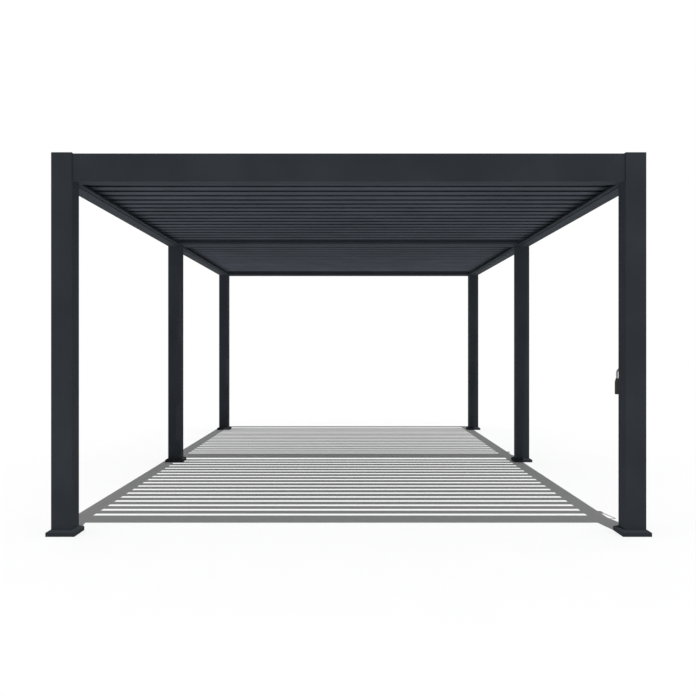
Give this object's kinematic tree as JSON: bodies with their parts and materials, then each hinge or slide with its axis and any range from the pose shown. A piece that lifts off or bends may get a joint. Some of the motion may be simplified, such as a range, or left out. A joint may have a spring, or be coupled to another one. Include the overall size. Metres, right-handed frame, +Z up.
{
  "type": "louvered pergola",
  "caption": "Free-standing louvered pergola: square posts with base covers, edge beams, a cross beam, and louvre blades turned by a hand crank.",
  "frame": {"origin": "on the ground at the middle of the pergola's plan", "axes": "+Z up, +Y along the pergola from its front to its rear, +X to the right seen from the front"},
  "size_m": [3.65, 6.05, 2.3517],
  "materials": {
    "frame_coating": "anthracite powder coating, fine satin grain, on aluminium",
    "cover_coating": "anthracite powder coating on the base covers",
    "louvre_coating": "anthracite powder coating on the louvre blades",
    "plated_steel": "zinc plated steel",
    "gearbox_housing": "dark moulded housing",
    "grip_plastic": "dark moulded plastic"
  },
  "bodies": {
    "root": {"post_front_left": "frame_coating", "post_front_right": "frame_coating", "post_middle_left": "frame_coating", "post_middle_right": "frame_coating", "post_rear_left": "frame_coating", "post_rear_right": "frame_coating", "base_cover_front_left": "cover_coating", "base_cover_front_right": "cover_coating", "base_cover_middle_left": "cover_coating", "base_cover_middle_right": "cover_coating", "base_cover_rear_left": "cover_coating", "base_cover_rear_right": "cover_coating", "beam_front": "frame_coating", "beam_middle": "frame_coating", "beam_rear": "frame_coating", "beam_left_front": "frame_coating", "beam_left_rear": "frame_coating", "beam_right_front": "frame_coating", "beam_right_rear": "frame_coating", "gearbox_front": "gearbox_housing", "gearbox_rear": "gearbox_housing"},
    "front_louvre_01": {"louvre_front_01": "louvre_coating"},
    "front_louvre_02": {"louvre_front_02": "louvre_coating"},
    "front_louvre_03": {"louvre_front_03": "louvre_coating"},
    "front_louvre_04": {"louvre_front_04": "louvre_coating"},
    "front_louvre_05": {"louvre_front_05": "louvre_coating"},
    "front_louvre_06": {"louvre_front_06": "louvre_coating"},
    "front_louvre_07": {"louvre_front_07": "louvre_coating"},
    "front_louvre_08": {"louvre_front_08": "louvre_coating"},
    "front_louvre_09": {"louvre_front_09": "louvre_coating"},
    "front_louvre_10": {"louvre_front_10": "louvre_coating"},
    "front_louvre_11": {"louvre_front_11": "louvre_coating"},
    "front_louvre_12": {"louvre_front_12": "louvre_coating"},
    "front_louvre_13": {"louvre_front_13": "louvre_coating"},
    "front_louvre_14": {"louvre_front_14": "louvre_coating"},
    "front_louvre_15": {"louvre_front_15": "louvre_coating"},
    "front_louvre_16": {"louvre_front_16": "louvre_coating"},
    "front_louvre_17": {"louvre_front_17": "louvre_coating"},
    "front_link": {"link_bar_front": "plated_steel"},
    "rear_louvre_01": {"louvre_rear_01": "louvre_coating"},
    "rear_louvre_02": {"louvre_rear_02": "louvre_coating"},
    "rear_louvre_03": {"louvre_rear_03": "louvre_coating"},
    "rear_louvre_04": {"louvre_rear_04": "louvre_coating"},
    "rear_louvre_05": {"louvre_rear_05": "louvre_coating"},
    "rear_louvre_06": {"louvre_rear_06": "louvre_coating"},
    "rear_louvre_07": {"louvre_rear_07": "louvre_coating"},
    "rear_louvre_08": {"louvre_rear_08": "louvre_coating"},
    "rear_louvre_09": {"louvre_rear_09": "louvre_coating"},
    "rear_louvre_10": {"louvre_rear_10": "louvre_coating"},
    "rear_louvre_11": {"louvre_rear_11": "louvre_coating"},
    "rear_louvre_12": {"louvre_rear_12": "louvre_coating"},
    "rear_louvre_13": {"louvre_rear_13": "louvre_coating"},
    "rear_louvre_14": {"louvre_rear_14": "louvre_coating"},
    "rear_louvre_15": {"louvre_rear_15": "louvre_coating"},
    "rear_louvre_16": {"louvre_rear_16": "louvre_coating"},
    "rear_louvre_17": {"louvre_rear_17": "louvre_coating"},
    "rear_link": {"link_bar_rear": "plated_steel"},
    "crank": {"crank_rod": "plated_steel", "crank_grip": "grip_plastic"}
  },
  "joints": [
    {"name": "front_louvres_turn", "type": "hinge", "parent": "root", "child": "front_louvre_01", "pos_m": [0, -2.6958, 2.2625], "axis": [1, 0, 0], "range_deg": [-75, 15]},
    {"name": "front_louvre_02_turn", "type": "hinge", "parent": "root", "child": "front_louvre_02", "pos_m": [0, -2.5447, 2.2625], "axis": [1, 0, 0], "range_deg": [-75, 15]},
    {"name": "front_louvre_03_turn", "type": "hinge", "parent": "root", "child": "front_louvre_03", "pos_m": [0, -2.3936, 2.2625], "axis": [1, 0, 0], "range_deg": [-75, 15]},
    {"name": "front_louvre_04_turn", "type": "hinge", "parent": "root", "child": "front_louvre_04", "pos_m": [0, -2.2425, 2.2625], "axis": [1, 0, 0], "range_deg": [-75, 15]},
    {"name": "front_louvre_05_turn", "type": "hinge", "parent": "root", "child": "front_louvre_05", "pos_m": [0, -2.0914, 2.2625], "axis": [1, 0, 0], "range_deg": [-75, 15]},
    {"name": "front_louvre_06_turn", "type": "hinge", "parent": "root", "child": "front_louvre_06", "pos_m": [0, -1.9403, 2.2625], "axis": [1, 0, 0], "range_deg": [-75, 15]},
    {"name": "front_louvre_07_turn", "type": "hinge", "parent": "root", "child": "front_louvre_07", "pos_m": [0, -1.7892, 2.2625], "axis": [1, 0, 0], "range_deg": [-75, 15]},
    {"name": "front_louvre_08_turn", "type": "hinge", "parent": "root", "child": "front_louvre_08", "pos_m": [0, -1.6381, 2.2625], "axis": [1, 0, 0], "range_deg": [-75, 15]},
    {"name": "front_louvre_09_turn", "type": "hinge", "parent": "root", "child": "front_louvre_09", "pos_m": [0, -1.487, 2.2625], "axis": [1, 0, 0], "range_deg": [-75, 15]},
    {"name": "front_louvre_10_turn", "type": "hinge", "parent": "root", "child": "front_louvre_10", "pos_m": [0, -1.3359, 2.2625], "axis": [1, 0, 0], "range_deg": [-75, 15]},
    {"name": "front_louvre_11_turn", "type": "hinge", "parent": "root", "child": "front_louvre_11", "pos_m": [0, -1.1848, 2.2625], "axis": [1, 0, 0], "range_deg": [-75, 15]},
    {"name": "front_louvre_12_turn", "type": "hinge", "parent": "root", "child": "front_louvre_12", "pos_m": [0, -1.0337, 2.2625], "axis": [1, 0, 0], "range_deg": [-75, 15]},
    {"name": "front_louvre_13_turn", "type": "hinge", "parent": "root", "child": "front_louvre_13", "pos_m": [0, -0.8826, 2.2625], "axis": [1, 0, 0], "range_deg": [-75, 15]},
    {"name": "front_louvre_14_turn", "type": "hinge", "parent": "root", "child": "front_louvre_14", "pos_m": [0, -0.7315, 2.2625], "axis": [1, 0, 0], "range_deg": [-75, 15]},
    {"name": "front_louvre_15_turn", "type": "hinge", "parent": "root", "child": "front_louvre_15", "pos_m": [0, -0.5804, 2.2625], "axis": [1, 0, 0], "range_deg": [-75, 15]},
    {"name": "front_louvre_16_turn", "type": "hinge", "parent": "root", "child": "front_louvre_16", "pos_m": [0, -0.4293, 2.2625], "axis": [1, 0, 0], "range_deg": [-75, 15]},
    {"name": "front_louvre_17_turn", "type": "hinge", "parent": "root", "child": "front_louvre_17", "pos_m": [0, -0.2782, 2.2625], "axis": [1, 0, 0], "range_deg": [-75, 15]},
    {"name": "front_link_turn", "type": "hinge", "parent": "front_louvre_01", "child": "front_link", "pos_m": [1.743, -2.6758, 2.22786], "axis": [1, 0, 0], "range_deg": [-15, 75]},
    {"name": "rear_louvres_turn", "type": "hinge", "parent": "root", "child": "rear_louvre_01", "pos_m": [0, 0.3022, 2.2625], "axis": [1, 0, 0], "range_deg": [-75, 15]},
    {"name": "rear_louvre_02_turn", "type": "hinge", "parent": "root", "child": "rear_louvre_02", "pos_m": [0, 0.4533, 2.2625], "axis": [1, 0, 0], "range_deg": [-75, 15]},
    {"name": "rear_louvre_03_turn", "type": "hinge", "parent": "root", "child": "rear_louvre_03", "pos_m": [0, 0.6044, 2.2625], "axis": [1, 0, 0], "range_deg": [-75, 15]},
    {"name": "rear_louvre_04_turn", "type": "hinge", "parent": "root", "child": "rear_louvre_04", "pos_m": [0, 0.7555, 2.2625], "axis": [1, 0, 0], "range_deg": [-75, 15]},
    {"name": "rear_louvre_05_turn", "type": "hinge", "parent": "root", "child": "rear_louvre_05", "pos_m": [0, 0.9066, 2.2625], "axis": [1, 0, 0], "range_deg": [-75, 15]},
    {"name": "rear_louvre_06_turn", "type": "hinge", "parent": "root", "child": "rear_louvre_06", "pos_m": [0, 1.0577, 2.2625], "axis": [1, 0, 0], "range_deg": [-75, 15]},
    {"name": "rear_louvre_07_turn", "type": "hinge", "parent": "root", "child": "rear_louvre_07", "pos_m": [0, 1.2088, 2.2625], "axis": [1, 0, 0], "range_deg": [-75, 15]},
    {"name": "rear_louvre_08_turn", "type": "hinge", "parent": "root", "child": "rear_louvre_08", "pos_m": [0, 1.3599, 2.2625], "axis": [1, 0, 0], "range_deg": [-75, 15]},
    {"name": "rear_louvre_09_turn", "type": "hinge", "parent": "root", "child": "rear_louvre_09", "pos_m": [0, 1.511, 2.2625], "axis": [1, 0, 0], "range_deg": [-75, 15]},
    {"name": "rear_louvre_10_turn", "type": "hinge", "parent": "root", "child": "rear_louvre_10", "pos_m": [0, 1.6621, 2.2625], "axis": [1, 0, 0], "range_deg": [-75, 15]},
    {"name": "rear_louvre_11_turn", "type": "hinge", "parent": "root", "child": "rear_louvre_11", "pos_m": [0, 1.8132, 2.2625], "axis": [1, 0, 0], "range_deg": [-75, 15]},
    {"name": "rear_louvre_12_turn", "type": "hinge", "parent": "root", "child": "rear_louvre_12", "pos_m": [0, 1.9643, 2.2625], "axis": [1, 0, 0], "range_deg": [-75, 15]},
    {"name": "rear_louvre_13_turn", "type": "hinge", "parent": "root", "child": "rear_louvre_13", "pos_m": [0, 2.1154, 2.2625], "axis": [1, 0, 0], "range_deg": [-75, 15]},
    {"name": "rear_louvre_14_turn", "type": "hinge", "parent": "root", "child": "rear_louvre_14", "pos_m": [0, 2.2665, 2.2625], "axis": [1, 0, 0], "range_deg": [-75, 15]},
    {"name": "rear_louvre_15_turn", "type": "hinge", "parent": "root", "child": "rear_louvre_15", "pos_m": [0, 2.4176, 2.2625], "axis": [1, 0, 0], "range_deg": [-75, 15]},
    {"name": "rear_louvre_16_turn", "type": "hinge", "parent": "root", "child": "rear_louvre_16", "pos_m": [0, 2.5687, 2.2625], "axis": [1, 0, 0], "range_deg": [-75, 15]},
    {"name": "rear_louvre_17_turn", "type": "hinge", "parent": "root", "child": "rear_louvre_17", "pos_m": [0, 2.7198, 2.2625], "axis": [1, 0, 0], "range_deg": [-75, 15]},
    {"name": "rear_link_turn", "type": "hinge", "parent": "rear_louvre_01", "child": "rear_link", "pos_m": [1.743, 0.3222, 2.22786], "axis": [1, 0, 0], "range_deg": [-15, 75]},
    {"name": "crank_turn", "type": "hinge", "parent": "root", "child": "crank", "pos_m": [1.805, -2.6958, 1.005], "axis": [0, 0, 1], "range_deg": [-900, 180]}
  ],
  "couplings": [
    {"joint": "front_louvre_02_turn", "follows": "front_louvres_turn", "ratio": 1},
    {"joint": "front_louvre_03_turn", "follows": "front_louvres_turn", "ratio": 1},
    {"joint": "front_louvre_04_turn", "follows": "front_louvres_turn", "ratio": 1},
    {"joint": "front_louvre_05_turn", "follows": "front_louvres_turn", "ratio": 1},
    {"joint": "front_louvre_06_turn", "follows": "front_louvres_turn", "ratio": 1},
    {"joint": "front_louvre_07_turn", "follows": "front_louvres_turn", "ratio": 1},
    {"joint": "front_louvre_08_turn", "follows": "front_louvres_turn", "ratio": 1},
    {"joint": "front_louvre_09_turn", "follows": "front_louvres_turn", "ratio": 1},
    {"joint": "front_louvre_10_turn", "follows": "front_louvres_turn", "ratio": 1},
    {"joint": "front_louvre_11_turn", "follows": "front_louvres_turn", "ratio": 1},
    {"joint": "front_louvre_12_turn", "follows": "front_louvres_turn", "ratio": 1},
    {"joint": "front_louvre_13_turn", "follows": "front_louvres_turn", "ratio": 1},
    {"joint": "front_louvre_14_turn", "follows": "front_louvres_turn", "ratio": 1},
    {"joint": "front_louvre_15_turn", "follows": "front_louvres_turn", "ratio": 1},
    {"joint": "front_louvre_16_turn", "follows": "front_louvres_turn", "ratio": 1},
    {"joint": "front_louvre_17_turn", "follows": "front_louvres_turn", "ratio": 1},
    {"joint": "front_link_turn", "follows": "front_louvres_turn", "ratio": -1},
    {"joint": "rear_louvre_02_turn", "follows": "rear_louvres_turn", "ratio": 1},
    {"joint": "rear_louvre_03_turn", "follows": "rear_louvres_turn", "ratio": 1},
    {"joint": "rear_louvre_04_turn", "follows": "rear_louvres_turn", "ratio": 1},
    {"joint": "rear_louvre_05_turn", "follows": "rear_louvres_turn", "ratio": 1},
    {"joint": "rear_louvre_06_turn", "follows": "rear_louvres_turn", "ratio": 1},
    {"joint": "rear_louvre_07_turn", "follows": "rear_louvres_turn", "ratio": 1},
    {"joint": "rear_louvre_08_turn", "follows": "rear_louvres_turn", "ratio": 1},
    {"joint": "rear_louvre_09_turn", "follows": "rear_louvres_turn", "ratio": 1},
    {"joint": "rear_louvre_10_turn", "follows": "rear_louvres_turn", "ratio": 1},
    {"joint": "rear_louvre_11_turn", "follows": "rear_louvres_turn", "ratio": 1},
    {"joint": "rear_louvre_12_turn", "follows": "rear_louvres_turn", "ratio": 1},
    {"joint": "rear_louvre_13_turn", "follows": "rear_louvres_turn", "ratio": 1},
    {"joint": "rear_louvre_14_turn", "follows": "rear_louvres_turn", "ratio": 1},
    {"joint": "rear_louvre_15_turn", "follows": "rear_louvres_turn", "ratio": 1},
    {"joint": "rear_louvre_16_turn", "follows": "rear_louvres_turn", "ratio": 1},
    {"joint": "rear_louvre_17_turn", "follows": "rear_louvres_turn", "ratio": 1},
    {"joint": "rear_link_turn", "follows": "rear_louvres_turn", "ratio": -1},
    {"joint": "crank_turn", "follows": "front_louvres_turn", "ratio": 12}
  ]
}
